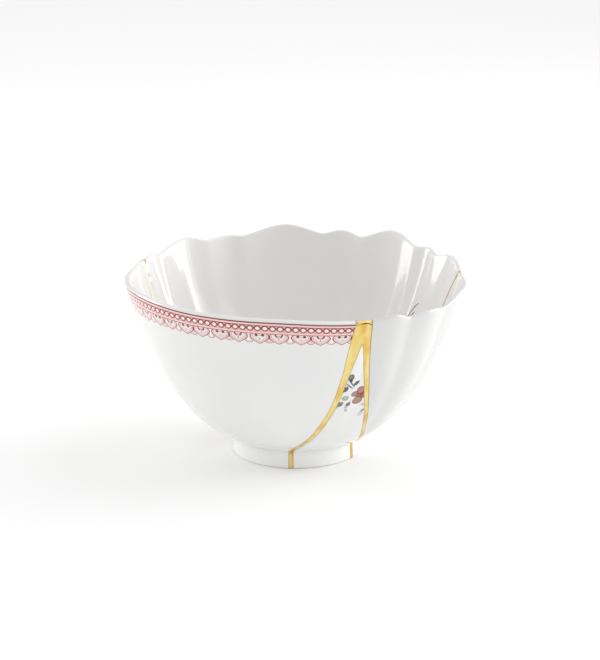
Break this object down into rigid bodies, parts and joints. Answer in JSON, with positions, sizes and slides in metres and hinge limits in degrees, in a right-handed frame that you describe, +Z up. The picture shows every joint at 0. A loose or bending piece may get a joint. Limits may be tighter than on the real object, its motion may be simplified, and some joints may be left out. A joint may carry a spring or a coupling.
{
  "type": "kintsugi bowl",
  "caption": "Footed porcelain bowl put together from shards of unlike bowls, with a part smooth, part scalloped rim and gold-filled cracks.",
  "frame": {"origin": "middle of the foot ring, on the surface that the bowl stands on", "axes": "+Z up along the bowl's turning axis; -Y towards the viewer, where the red border and the fork of gold face; +X to the viewer's right"},
  "size_m": [0.1913, 0.1931, 0.1094],
  "materials": {
    "banded_glaze": "gloss",
    "flowered_glaze": "gloss",
    "fluted_glaze": "gloss",
    "gold": "gloss"
  },
  "bodies": {
    "root": {"banded_shard": "banded_glaze", "flowered_shard": "flowered_glaze", "fluted_front_shard": "fluted_glaze", "fluted_back_shard": "fluted_glaze", "gold_fork_seam": "gold", "gold_right_seam": "gold", "gold_left_seam": "gold"}
  },
  "joints": []
}
